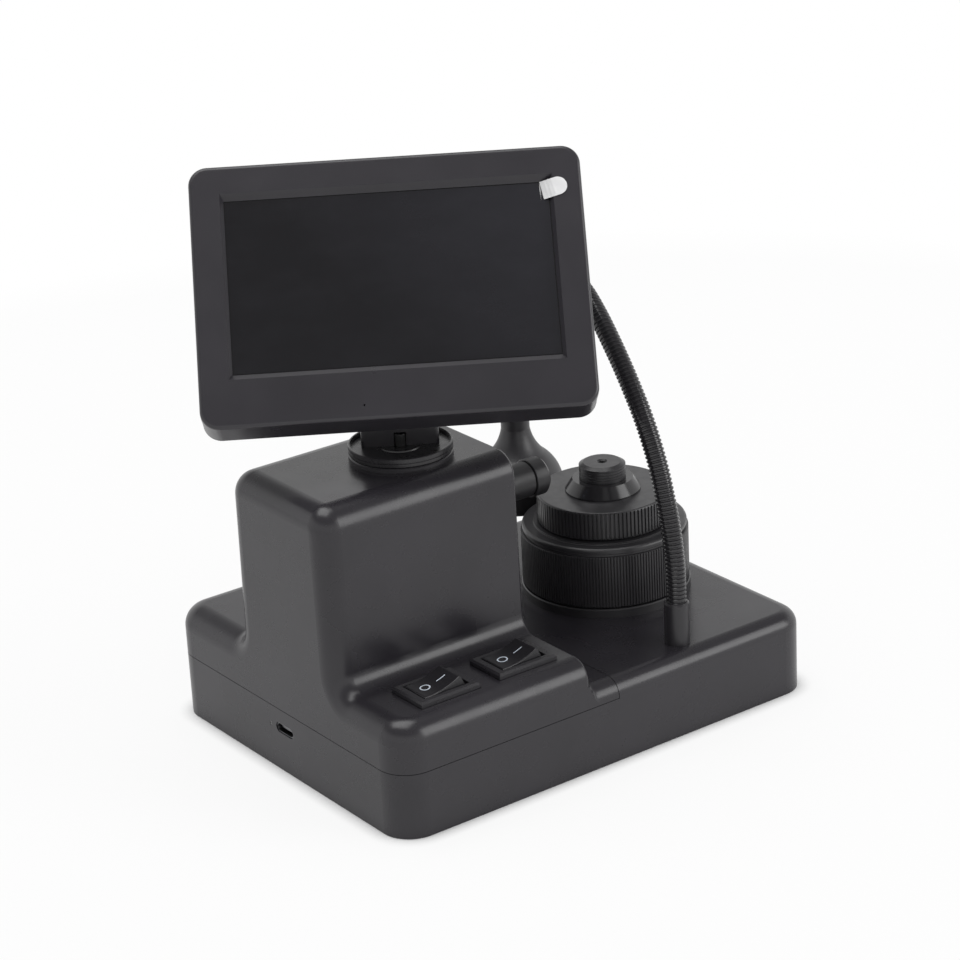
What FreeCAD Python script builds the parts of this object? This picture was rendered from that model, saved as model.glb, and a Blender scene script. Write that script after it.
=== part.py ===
import FreeCAD, Part
import math
import os

from FreeCAD import Placement, Rotation, Vector

# A bench microscope for gemstones: a moulded case with a camera tower, a knurled stage in front of
# the lens, a lamp on a gooseneck and a monitor that pans and tilts on the tower.
# Millimetres. X runs along the front to the right, Y to the back, Z up. The origin is the middle of
# the footprint, on the underside.

# Case
case_length = 157.0
case_depth = 123.0
case_corner = 10.0
case_wall = 2.4
seam_z = 20.5
deck_z = 26.2
deck_edge = 5.0
seam_gap = 0.2
cover_screw_seat_z = 12.0
plate_screw_seat_z = 1.0
split_x = 2.0
plate_thick = 2.0
pad_radius = 5.0
pad_thick = 0.7

# Cover: two ledges with the tower between them
cover_right_x = -8.9
ledge_z = 36.1
tower_z = 92.7
tower_front_low = -30.1
tower_front_high = -29.2
tower_back_low = 22.3
tower_back_high = 21.5
tower_root_radius = 5.5
tower_top_radius = 7.6
side_radius = 6.8
sharp_radius = 1.2
foot_cove = 3.4

# Switches on the front ledge
switch_y = -46.3
switch_x = {"power": -53.7, "lamp": -25.6}
bezel_size = (21.0, 15.0)
switch_body = (19.0, 12.8)
rocker_well = (16.2, 11.0)
rocker_width = 10.4
bezel_proud = 1.8
rocker_pivot_z = 33.5
rocker_tilt = 12.0
rocker_pin_radius = 0.8
rocker_dip_z = 5.25

# Charging socket and its light, in the left wall
socket_y = -0.6
socket_z = 14.3
socket_size = (8.94, 3.1)
socket_window = (9.3, 3.3)
light_y = 7.1
light_z = 14.0
light_radius = 0.55

# Main board, battery
board_top_z = 12.6
board_thick = 1.6
battery_radius = 9.2
battery_length = 65.0

# Lens and camera, along X
lens_y = -2.9
lens_z = 70.8
barrel_radius = 5.6
barrel_bore = 4.4
barrel_front_x = 14.0
nose_radius = 4.9
ring_front_x = 19.9
ring_radius = 6.1

# Stage, turning on one upright axis
stage_x = 44.3
stage_y = -2.9
flange_radius = 27.0
flange_top_z = 29.1
drum_radius = 26.7
drum_low_z = 29.35
drum_knurl_top_z = 46.6
drum_lip_radius = 26.2
drum_top_z = 49.2
drum_step_radius = 22.6
drum_step_z = 49.7
table_radius = 21.25
table_low_z = 50.1
table_top_z = 59.3
cone_low_radius = 12.0
cone_top_radius = 9.6
cone_top_z = 63.3
plug_radius = 7.4
plug_top_z = 68.5
plug_face_radius = 6.0
stone_hole_radius = 1.15
stone_hole_depth = 8.0
post_radius = 14.0
post_bore = 9.06
post_top_z = 41.8
lift_radius = 9.0
lift_low_z = 31.2
puck_radius = 18.92
puck_low_z = 42.2
puck_top_z = 50.8
spindle_bore = 5.6
running_fit = 0.06

# Monitor and its stand: a pan axis on the tower and a tilt axis behind the screen
pan_x = -33.3
pan_y = -5.3
pan_angle = -33.4
tilt_angle = 36.6
screen_centre = (0.5, -0.75, 145.85)
monitor_width = 115.5
monitor_height = 80.3
monitor_depth = 14.1
monitor_corner = 5.6
bezel_depth = 4.0
bezel_round = 1.2
window_centre = (0.2, 2.9)
window_size = (95.8, 53.4)
window_mouth = (97.9, 57.1)
glass_depth = 2.0
driver_post_y = 9.4
monitor_light = (-10.3, -35.8)
tab_corner = (45.7, 26.0)
tab_size = (7.8, 5.6, 2.7)
tab_turn = 15.0
hinge_depth = 18.4
hinge_drop = 15.4
knuckle_radius = 3.6
hinge_pin_radius = 1.5
stand_radius = 15.7
neck_width = 23.3
neck_front = -0.5
neck_back = 7.5
neck_foot_z = 95.6
neck_top_z = 116.6
pivot_radius = 1.7
pivot_top_z = 99.5

# Gooseneck lamp
gland_x = 32.9
gland_y = -51.8
gland_radius = 3.9
gland_top_z = 39.8
nut_radius = 5.2
nut_height = 3.0
lamp_x = 42.8
lamp_y = 40.4
neck_radius = 3.12
neck_groove = 0.35
neck_bore = 1.3
rib_pitch = 1.32
lamp_neck_radius = 4.7
lamp_mouth_radius = 14.8
lamp_top_z = 89.1
lamp_mouth_z = 42.9
lamp_wall = 1.3
# The gooseneck's route in its own upright plane: distance from the gland, and height
route = [(0.0, 29.0), (0.0, 51.7), (2.0, 64.6), (7.1, 81.3), (14.0, 94.7), (24.6, 108.7), (35.4, 120.4),
         (44.6, 128.0), (57.4, 131.4), (70.3, 128.8), (80.7, 120.9), (86.5, 109.4), (86.5, 77.4)]

far = 200.0
solids = {}


def keep(name, *shapes):
    """Store the solid or solids of one sub-part under its name."""
    whole = shapes[0]
    for shape in shapes[1:]:
        whole = whole.fuse(shape)
    whole = whole.removeSplitter()
    if len(whole.Solids) > 1:
        solids[name] = Part.makeCompound(whole.Solids)
    else:
        solids[name] = whole.Solids[0]


def box(low, high):
    size = [b - a for a, b in zip(low, high)]
    return Part.makeBox(size[0], size[1], size[2], Vector(*low))


def centred_box(x, y, width, depth, low_z, high_z):
    return box((x - width / 2, y - depth / 2, low_z), (x + width / 2, y + depth / 2, high_z))


def post(x, y, radius, low_z, high_z):
    return Part.makeCylinder(radius, high_z - low_z, Vector(x, y, low_z))


def tube(x, y, outer, inner, low_z, high_z):
    return post(x, y, outer, low_z, high_z).cut(post(x, y, inner, low_z - 1, high_z + 1))


def rod_x(radius, low_x, high_x, y, z):
    return Part.makeCylinder(radius, high_x - low_x, Vector(low_x, y, z), Vector(1, 0, 0))


def rod_y(radius, low_y, high_y, x, z):
    return Part.makeCylinder(radius, high_y - low_y, Vector(x, low_y, z), Vector(0, 1, 0))


def fillet_where(shape, radius, chosen):
    """Round the edges that the test chooses."""
    return shape.makeFillet(radius, [edge for edge in shape.Edges if chosen(edge.BoundBox)])


def chamfer_where(shape, size, chosen):
    return shape.makeChamfer(size, [edge for edge in shape.Edges if chosen(edge.BoundBox)])


def flat_at(low, high, value):
    return abs(low - value) < 0.01 and abs(high - value) < 0.01


def rounded_plate(width, depth, radius, low_z, high_z, x=0.0, y=0.0):
    """A plate with rounded upright corners, centred on x, y."""
    plate = centred_box(x, y, width, depth, low_z, high_z)
    return fillet_where(plate, radius, lambda b: b.ZLength > high_z - low_z - 0.01)


def revolve(points, x, y, closing=True):
    """A solid of revolution about the upright axis through x, y, from radius and height pairs.
    A pair marks a corner, and a triple of pairs an arc."""
    edges = []
    last = None
    for item in points:
        if isinstance(item[0], tuple):
            a, b, c = [Vector(x + r, y, z) for r, z in item]
            edges.append(Part.Arc(a, b, c).toShape())
            last = c
        else:
            here = Vector(x + item[0], y, item[1])
            if last is not None and (here - last).Length > 1e-6:
                edges.append(Part.LineSegment(last, here).toShape())
            last = here
    first = edges[0].Vertexes[0].Point
    if closing and (last - first).Length > 1e-6:
        edges.append(Part.LineSegment(last, first).toShape())
    face = Part.Face(Part.Wire(Part.__sortEdges__(edges)))
    return face.revolve(Vector(x, y, 0), Vector(0, 0, 1), 360)


def prism_x(outline, low_x, high_x):
    """An outline of y, z pairs pulled along X."""
    points = [Vector(low_x, y, z) for y, z in outline]
    face = Part.Face(Part.makePolygon(points + points[:1]))
    return face.extrude(Vector(high_x - low_x, 0, 0))


def screw(x, y, head_radius, head_z, head_height, shank_radius, tip_z, up=True):
    """A cross-head screw on an upright axis; its head is at the low end when it points up."""
    sign = 1 if up else -1
    base = head_z - sign * head_height
    head = post(x, y, head_radius, min(base, head_z), max(base, head_z))
    shank = post(x, y, shank_radius, min(head_z, tip_z), max(head_z, tip_z))
    outer = base
    slot_low, slot_high = sorted((outer - sign * 0.5, outer + sign * 0.7))
    arm = head_radius * 1.1
    cross = centred_box(x, y, arm, 0.6, slot_low, slot_high).fuse(
        centred_box(x, y, 0.6, arm, slot_low, slot_high))
    return head.fuse(shank).cut(cross)


# Case outline, used by the lower case and by the cover's flange


def case_block(inset, low_z):
    """The case without its tower, drawn in by inset on every side."""
    top = deck_z - inset
    block = rounded_plate(case_length - 2 * inset, case_depth - 2 * inset, case_corner - inset, -5.0, top)
    block = fillet_where(block, deck_edge - inset, lambda b: flat_at(b.ZMin, b.ZMax, top))
    return block.common(box((-far, -far, low_z), (far, far, far)))


def cover_space(shift):
    """The space above the seam and left of the split across the deck."""
    return box((-far, -far, seam_z), (split_x + shift, far, far))


plate_screws = [(68.0, -51.0), (68.0, 51.0), (14.0, 53.5), (14.0, -53.5), (-58.0, -54.5), (-58.0, 54.5)]
cover_screws = [(-70.3, -38.0), (-70.3, 38.0), (-14.5, -56.0), (-14.5, 56.0)]


def wall_rib(x, y, low_z, high_z):
    """A thin rib from a boss to the nearer wall."""
    if x < -60:
        wall = -case_length / 2 + case_wall - 0.5
        return box((wall, y - 0.8, low_z), (x, y + 0.8, high_z))
    wall = math.copysign(case_depth / 2 - case_wall + 0.5, y)
    return box((x - 0.8, min(y, wall), low_z), (x + 0.8, max(y, wall), high_z))


def lower_case():
    shell = case_block(0.0, 0.0).cut(cover_space(0.0)).cut(case_block(case_wall, -1.0))
    boss_foot = plate_thick + 0.1
    for x, y in plate_screws:
        top = seam_z - 0.4 if x < split_x else deck_z - case_wall + 0.5
        boss = post(x, y, 3.3, boss_foot, top).fuse(wall_rib(x, y, boss_foot + 4, top))
        shell = shell.fuse(boss).cut(post(x, y, 1.2, 0, top - 3))
    for x, y in cover_screws:
        boss = post(x, y, 3.8, boss_foot, seam_z).fuse(wall_rib(x, y, boss_foot + 4, seam_z))
        shell = shell.fuse(boss).cut(post(x, y, 1.7, 0, far)).cut(post(x, y, 3.0, 0, cover_screw_seat_z))
    # A lip under the deck's left edge carries the cover's flange
    under = deck_z - case_wall
    low_z, end_y, root_x = under - 2.0, 55.5, split_x + 1.5
    lip = box((split_x - 6.0, -end_y, low_z), (root_x, end_y, under - seam_gap))
    root = box((root_x - 0.9, -end_y, low_z), (root_x, end_y, under + 0.3))
    shell = shell.fuse(lip.fuse(root))
    # Openings: socket, its light, the stage's screws and the gooseneck's gland
    left = -case_length / 2
    shell = shell.cut(rounded_window(socket_window, left - 1, left + case_wall + 1))
    shell = shell.cut(rod_x(light_radius + 0.1, left - 1, left + case_wall + 1, light_y, light_z))
    for x, y in stage_screw_places():
        shell = shell.cut(post(x, y, 1.7, 20, 40))
    shell = shell.cut(post(gland_x, gland_y, nut_radius + 0.2, under - nut_height - 1, under))
    return shell.cut(post(gland_x, gland_y, 2.6, 20, 40))


def rounded_window(size, low_x, high_x):
    """A flat slot with round ends, looking along X, at the charging socket."""
    width, height = size
    radius = height / 2
    half = width / 2 - radius
    slot = rod_x(radius, low_x, high_x, socket_y - half, socket_z)
    slot = slot.fuse(rod_x(radius, low_x, high_x, socket_y + half, socket_z))
    middle = box((low_x, socket_y - half, socket_z - radius), (high_x, socket_y + half, socket_z + radius))
    return slot.fuse(middle)


def stage_screw_places():
    return [(stage_x + 19 * math.cos(a), stage_y + 19 * math.sin(a)) for a in
            (math.radians(d) for d in (30, 150, 270))]


# Cover


def cover_form(inset, low_z):
    """Ledges and tower as one form, drawn in by inset on every side."""
    left = -case_length / 2 + inset
    right = cover_right_x - inset
    front = -case_depth / 2 + inset
    back = case_depth / 2 - inset
    ledge = ledge_z - inset
    top = tower_z - inset
    outline = [(front, low_z), (back, low_z), (back, ledge), (tower_back_low - inset, ledge),
               (tower_back_high - inset, top), (tower_front_high + inset, top),
               (tower_front_low + inset, ledge), (front, ledge)]
    form = prism_x(outline, left, right)

    def tower_root(b):
        return b.XLength > 1 and flat_at(b.ZMin, b.ZMax, ledge) and abs(b.YMin) < 40

    form = fillet_where(form, tower_root_radius + inset, tower_root)
    form = fillet_where(form, tower_top_radius - inset,
                        lambda b: b.XLength > 1 and flat_at(b.ZMin, b.ZMax, top))
    length, depth = case_length - 2 * inset, case_depth - 2 * inset
    form = form.common(rounded_plate(length, depth, case_corner - inset, low_z - 1, far))

    def outer_rim(b):
        on_left = flat_at(b.XMin, b.XMax, left)
        on_front = flat_at(b.YMin, b.YMax, front) or flat_at(b.YMin, b.YMax, back)
        on_corner = b.XMax < left + case_corner + 0.1 and abs(b.YMin + b.YMax) / 2 > back - case_corner
        high = b.ZMin > ledge - 0.05
        return high and (on_left or on_front or on_corner)

    return fillet_where(form, side_radius - inset, outer_rim)


def cove():
    """The concave foot of the cover's right wall. It follows the deck and its two rounded edges."""
    end = case_depth / 2 - deck_edge

    def at(out, above):
        return Vector(cover_right_x + out, end, deck_z + above)

    mid = foot_cove * (1 - math.sqrt(0.5))
    corners = [at(0, foot_cove), at(-1, foot_cove), at(-1, -1), at(foot_cove, -1), at(foot_cove, 0)]
    edges = [Part.LineSegment(a, b).toShape() for a, b in zip(corners, corners[1:])]
    edges.append(Part.Arc(corners[-1], at(mid, mid), corners[0]).toShape())
    face = Part.Face(Part.Wire(edges))
    level = face.extrude(Vector(0, -2 * end, 0))
    axis_z = deck_z - deck_edge
    turned = face.revolve(Vector(0, end, axis_z), Vector(1, 0, 0), -90)
    mirrored = turned.mirror(Vector(0, 0, 0), Vector(0, 1, 0))
    whole = level.fuse(turned).fuse(mirrored)
    return whole.common(box((-far, -case_depth / 2, seam_z + seam_gap), (far, case_depth / 2, far)))


def upper_cover():
    low_z = seam_z + seam_gap
    form = cover_form(0.0, low_z)
    form = fillet_where(form, sharp_radius, lambda b: flat_at(b.XMin, b.XMax, cover_right_x)
                        and b.ZMax > low_z + 1)
    flange = case_block(0.0, low_z).common(cover_space(-seam_gap))
    shell = form.fuse(flange).fuse(cove())
    hollow = cover_form(case_wall, low_z - 1)
    shell = shell.cut(hollow).cut(case_block(case_wall, low_z - 1))
    for x, y in cover_screws:
        roof = ledge_z - case_wall + 0.5
        shell = shell.fuse(post(x, y, 3.3, low_z, roof)).cut(post(x, y, 1.25, low_z - 1, roof - 2.2))
    for x in switch_x.values():
        width, depth = switch_body
        shell = shell.cut(centred_box(x, switch_y, width + 0.3, depth + 0.3, ledge_z - 6, ledge_z + 1))
        width, depth = bezel_size
        shell = shell.cut(centred_box(x, switch_y, width + 0.5, depth + 0.5, ledge_z - 0.35, ledge_z + 1))
    shell = shell.cut(rod_x(barrel_radius + 0.25, cover_right_x - 6, cover_right_x + 2, lens_y, lens_z))
    return shell.cut(post(pan_x, pan_y, 2.2, tower_z - 6, tower_z + 1))


# Base pieces


def bottom_plate():
    inset = case_wall + 0.2
    length, depth = case_length - 2 * inset, case_depth - 2 * inset
    plate = rounded_plate(length, depth, case_corner - inset, 0, plate_thick)
    for x, y in board_posts():
        plate = plate.fuse(tube(x, y, 2.6, 1.1, 1.0, board_top_z - board_thick))
    for x, y in plate_screws:
        plate = plate.cut(post(x, y, 1.6, -1, 5)).cut(post(x, y, 2.9, -1, plate_screw_seat_z))
    for x, y in pad_places():
        plate = plate.cut(post(x, y, pad_radius + 0.1, -1, pad_thick))
    for row in range(5):
        plate = plate.cut(centred_box(28.0, -16 + 8 * row, 26, 2.0, -1, 5))
    return plate


def pad_places():
    return [(sx * 64.0, sy * 40.0) for sx in (-1, 1) for sy in (-1, 1)]


def board_posts():
    return [(x, y) for x in (-69.0, -25.0) for y in (-21.0, 21.0)]


def base_pieces():
    keep("lower_case", lower_case())
    keep("upper_cover", upper_cover())
    keep("bottom_plate", bottom_plate())
    pads = [post(x, y, pad_radius, 0, pad_thick) for x, y in pad_places()]
    solids["grip_pads"] = Part.makeCompound(pads)
    solids["plate_screws"] = Part.makeCompound(
        [screw(x, y, 2.6, plate_screw_seat_z, 0.8, 1.15, 10.5) for x, y in plate_screws])
    solids["cover_screws"] = Part.makeCompound(
        [screw(x, y, 2.7, cover_screw_seat_z, 2.0, 1.2, 30.0) for x, y in cover_screws])


def electronics():
    low_z = board_top_z - board_thick
    board = centred_box(-47.0, 0.0, 54.0, 50.0, low_z, board_top_z)
    board = fillet_where(board, 2.0, lambda b: b.ZLength > 1)
    for x, y in board_posts():
        board = board.cut(post(x, y, 1.4, 0, 20))
    keep("main_board", board)
    chips = [((-45.0, 4.0), (14.0, 14.0, 1.4)), ((-32.0, -12.0), (9.0, 9.0, 1.0)),
             ((-60.0, -12.0), (6.0, 5.0, 1.6)), ((-60.0, 14.0), (7.0, 7.0, 3.0)),
             ((-33.0, 16.0), (12.0, 5.0, 5.5)), ((-47.0, -20.0), (10.0, 4.0, 5.5))]
    solids["board_components"] = Part.makeCompound(
        [centred_box(x, y, w, d, board_top_z, board_top_z + h) for (x, y), (w, d, h) in chips])
    solids["board_screws"] = Part.makeCompound(
        [screw(x, y, 2.3, board_top_z, 1.2, 1.05, board_top_z - 7, up=False) for x, y in board_posts()])
    shell = rounded_window(socket_size, -78.2, -70.9)
    width, height = socket_size
    shell = shell.cut(rounded_window((width - 0.6, height - 0.6), -79, -71.4))
    tongue = box((-77.2, socket_y - 3.3, socket_z - 0.35), (-71.2, socket_y + 3.3, socket_z + 0.35))
    legs = [centred_box(x, socket_y + side, 1.2, 0.6, board_top_z, socket_z) for x in (-75.2, -72.5)
            for side in (-width / 2 + 0.2, width / 2 - 0.2)]
    keep("charging_socket", shell, tongue, *legs)
    pipe = rod_x(light_radius, -78.45, -72.0, light_y, light_z)
    keep("charge_light_pipe", pipe, box((-73.0, light_y - 1.0, board_top_z), (-71.0, light_y + 1.0, 16.0)))
    battery_z = plate_thick + 0.4 + battery_radius
    battery_y = 36.0
    low_x, high_x = 4.0, 4.0 + battery_length
    cell = rod_x(battery_radius, low_x, high_x, battery_y, battery_z)
    keep("battery_cell", cell, rod_x(3.0, high_x - 0.5, high_x + 1.2, battery_y, battery_z))
    half = battery_radius + 1.6
    cradle = box((low_x - 3.5, battery_y - half, plate_thick), (high_x + 4.2, battery_y + half, 12.0))
    cradle = cradle.cut(rod_x(battery_radius + 0.15, low_x - 2.0, high_x + 2.7, battery_y, battery_z))
    keep("battery_cradle", cradle)


def switch(kind, x):
    """A rocker switch: frame, terminals and the rocker itself, at rest with its left side down."""
    top = ledge_z + bezel_proud
    bezel = centred_box(x, switch_y, bezel_size[0], bezel_size[1], ledge_z - 0.3, top)
    bezel = chamfer_where(bezel, 0.6, lambda b: flat_at(b.ZMin, b.ZMax, top))
    body = centred_box(x, switch_y, switch_body[0], switch_body[1], 23.2, ledge_z)
    well = centred_box(x, switch_y, rocker_well[0], rocker_well[1], 27.2, far)
    frame = bezel.fuse(body).cut(well)
    pin = rod_y(rocker_pin_radius + 0.05, switch_y - 6.1, switch_y + 6.1, x, rocker_pivot_z)
    keep(kind + "_switch_frame", frame.cut(pin))
    solids[kind + "_switch_terminals"] = Part.makeCompound(
        [centred_box(x + dx, switch_y, 0.8, 4.8, 15.7, 23.2) for dx in (-5.0, 2.0)])
    keep(kind + "_rocker", rocker(x))


def rocker(x):
    """A rocker with a dished top. It is drawn about its pin and then tipped to the left."""
    right = [Vector(6.5, 0, 6.1), Vector(7.6, 0, 1.8), Vector(6.1, 0, 0.0), Vector(2.5, 0, -3.4)]
    left = [Vector(-v.x, 0, v.z) for v in reversed(right)]
    below = right + left
    edges = [Part.Arc(left[-1], Vector(0, 0, rocker_dip_z), right[0]).toShape()]
    edges += [Part.LineSegment(p, q).toShape() for p, q in zip(below, below[1:])]
    profile = Part.Face(Part.Wire(Part.__sortEdges__(edges)))
    solid = profile.extrude(Vector(0, rocker_width, 0))
    solid.translate(Vector(0, -rocker_width / 2, 0))
    solid = fillet_where(solid, 0.4, lambda b: b.ZMin > rocker_dip_z - 0.2)
    solid = solid.fuse(rod_y(rocker_pin_radius, -6.0, 6.0, 0, 0))
    turn = Rotation(Vector(0, 1, 0), -rocker_tilt)
    solid.Placement = Placement(Vector(x, switch_y, rocker_pivot_z), turn)
    return solid


# Camera behind the tower's right wall


def revolve_x(points, y, z):
    """A solid of revolution about the line along X through y, z, from x and radius pairs."""
    corners = [Vector(x, y, z + r) for x, r in points]
    face = Part.Face(Part.makePolygon(corners + corners[:1]))
    return face.revolve(Vector(0, y, z), Vector(1, 0, 0), 360)


def camera():
    wall_x = cover_right_x - case_wall
    shoulder, tip = barrel_front_x, barrel_front_x + 4.2
    barrel = [(-38.0, barrel_bore), (-38.0, barrel_radius), (shoulder, barrel_radius),
              (shoulder, nose_radius), (tip, nose_radius), (tip, barrel_bore)]
    keep("lens_barrel", revolve_x(barrel, lens_y, lens_z))
    bore = nose_radius + running_fit
    ring = [(14.3, bore), (14.3, ring_radius - 0.2), (14.5, ring_radius), (ring_front_x - 1.0, ring_radius),
            (ring_front_x, 5.2), (ring_front_x, 4.9), (18.8, 3.9), (18.8, 3.0), (18.5, 3.0), (18.5, bore)]
    keep("focus_ring", revolve_x(ring, lens_y, lens_z))
    front = revolve_x([(18.85, 0.0), (18.85, 3.75), (19.1, 3.75), (19.3, 3.0), (19.45, 1.6), (19.5, 0.0)],
                      lens_y, lens_z)
    keep("front_lens", front)
    keep("rear_lens", revolve_x([(-8.0, 0.0), (-8.0, 4.35), (-6.4, 4.35), (-5.8, 2.6), (-5.6, 0.0)],
                                lens_y, lens_z))
    collar = rod_x(9.5, wall_x - 4.0, wall_x, lens_y, lens_z)
    collar = collar.cut(rod_x(barrel_radius + 0.05, -40, 0, lens_y, lens_z))
    keep("barrel_collar", collar)
    holder = box((-44.0, lens_y - 8, lens_z - 8), (-34.0, lens_y + 8, lens_z + 8))
    holder = holder.cut(rod_x(barrel_radius + 0.05, -38.0, -30, lens_y, lens_z))
    holder = holder.cut(rod_x(barrel_bore, -45, -30, lens_y, lens_z))
    keep("sensor_holder", holder)
    keep("camera_board", box((-45.6, lens_y - 13, lens_z - 13), (-44.0, lens_y + 13, lens_z + 13)))
    keep("image_sensor", box((-44.0, lens_y - 3.2, lens_z - 2.6), (-43.1, lens_y + 3.2, lens_z + 2.6)))
    arm = box((-49.2, lens_y - 14, 39.2), (-47.2, lens_y + 14, lens_z + 14))
    arm = arm.cut(rod_x(7.0, -52, -44, lens_y, lens_z))
    brace = box((-47.4, lens_y - 14, 39.2), (wall_x, lens_y + 14, 41.7))
    pads = [box((-47.3, lens_y + dy - 2, lens_z + dz - 2), (-45.6, lens_y + dy + 2, lens_z + dz + 2))
            for dy in (-11, 11) for dz in (-11, 11)]
    keep("camera_bracket", arm, brace, *pads)


# Stage


def stage():
    x, y = stage_x, stage_y
    clip_low, clip_high = post_top_z - 1.4, post_top_z - 0.5
    groove = post_radius - 0.8
    flange = revolve([(post_bore, deck_z), (flange_radius, deck_z), (flange_radius, flange_top_z - 0.3),
                      (flange_radius - 0.3, flange_top_z), (post_radius, flange_top_z),
                      (post_radius, clip_low), (groove, clip_low), (groove, clip_high),
                      (post_radius, clip_high), (post_radius, post_top_z), (post_bore, post_top_z)], x, y)
    for sx, sy in stage_screw_places():
        flange = flange.cut(post(sx, sy, 1.2, 20, flange_top_z - 0.4))
    keyway = centred_box(x - post_bore, y, 2.6, 2.1, 20, far)
    keep("stage_base", flange.cut(keyway))
    under = deck_z - case_wall
    solids["stage_screws"] = Part.makeCompound(
        [screw(sx, sy, 2.7, under, 1.8, 1.16, flange_top_z - 0.6) for sx, sy in stage_screw_places()])
    clip = tube(x, y, post_radius + 1.9, post_radius - 0.7, clip_low + 0.05, clip_high - 0.05)
    keep("ring_clip", clip.cut(centred_box(x + post_radius, y, 6, 3, 30, 50)))
    shelf = clip_low - 0.1
    ring = revolve([(post_radius + running_fit, drum_low_z), (drum_radius - 0.5, drum_low_z),
                    (drum_radius, drum_low_z + 0.5), (drum_radius, drum_knurl_top_z),
                    (drum_radius - 0.9, drum_knurl_top_z + 0.3), (drum_radius - 0.9, drum_knurl_top_z + 0.7),
                    (drum_lip_radius, drum_knurl_top_z + 1.0), (drum_lip_radius, drum_top_z - 0.7),
                    (drum_lip_radius - 0.7, drum_top_z), (drum_step_radius, drum_top_z),
                    (drum_step_radius, drum_step_z), (puck_radius + running_fit, drum_step_z),
                    (puck_radius + running_fit, shelf), (post_radius + running_fit, shelf)], x, y)
    keep("height_ring", ring)
    lift = revolve([(spindle_bore, lift_low_z), (lift_radius, lift_low_z), (lift_radius, puck_low_z),
                    (puck_radius, puck_low_z), (puck_radius, puck_top_z), (spindle_bore, puck_top_z)], x, y)
    keep("stage_lift", lift, centred_box(x - lift_radius, y, 2.2, 2.0, lift_low_z, puck_low_z + 1))
    spindle = spindle_bore - running_fit
    face = puck_top_z + 0.1
    table = revolve([(4.9, 39.2), (spindle, 39.2), (spindle, face), (puck_radius + 0.4, face),
                     (puck_radius + 0.4, table_low_z), (table_radius - 0.5, table_low_z),
                     (table_radius, table_low_z + 0.5), (table_radius, table_top_z - 0.5),
                     (table_radius - 0.5, table_top_z), (7.6, table_top_z), (7.6, 55.0), (4.9, 55.0)], x, y)
    keep("turntable", table)
    cone = revolve([(5.0, 56.0), (7.55, 56.0), (7.55, table_top_z), (cone_low_radius, table_top_z),
                    (cone_low_radius, table_top_z + 0.5), (cone_top_radius, cone_top_z),
                    (5.0, cone_top_z)], x, y)
    keep("holder_cone", cone)
    keep("stone_plug", stone_plug(x, y))


def stone_plug(x, y):
    """The turned plug on top, with thin grooves, a chamfered face and the hole that holds a stone."""
    groove = 0.15
    points = [(0.0, 56.5), (5.0 - running_fit, 56.5), (5.0 - running_fit, cone_top_z + 0.05),
              (plug_radius, cone_top_z + 0.05)]
    z = cone_top_z + 1.0
    for _ in range(4):
        points += [(plug_radius, z), (plug_radius - groove, z + 0.1), (plug_radius - groove, z + 0.3),
                   (plug_radius, z + 0.4)]
        z += 0.9
    mouth = stone_hole_radius + 0.6
    points += [(plug_radius, plug_top_z - 0.8), (plug_face_radius, plug_top_z), (mouth, plug_top_z),
               (stone_hole_radius, plug_top_z - 0.5), (stone_hole_radius, plug_top_z - stone_hole_depth),
               (0.0, plug_top_z - stone_hole_depth)]
    return revolve(points, x, y)


# Stand and monitor


def set_in_pan(shape):
    """The stand's own frame: X along the screen, Y away from the viewer, origin on the pan axis."""
    turn = Placement(Vector(pan_x, pan_y, 0), Rotation(Vector(0, 0, 1), pan_angle))
    shape.Placement = turn.multiply(shape.Placement)
    return shape


def set_in_monitor(shape):
    """The monitor's own frame: X along the screen, Y into it, Z up its face, origin mid-face."""
    tilt = Placement(Vector(*screen_centre), Rotation(Vector(1, 0, 0), -tilt_angle))
    shape.Placement = tilt.multiply(shape.Placement)
    return set_in_pan(shape)


def hinge_place():
    """The tilt axis in the stand's frame: its Y and Z."""
    _, y, z = screen_centre
    angle = math.radians(tilt_angle)
    y += hinge_depth * math.cos(angle) - hinge_drop * math.sin(angle)
    z += -hinge_depth * math.sin(angle) - hinge_drop * math.cos(angle)
    return y, z


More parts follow.
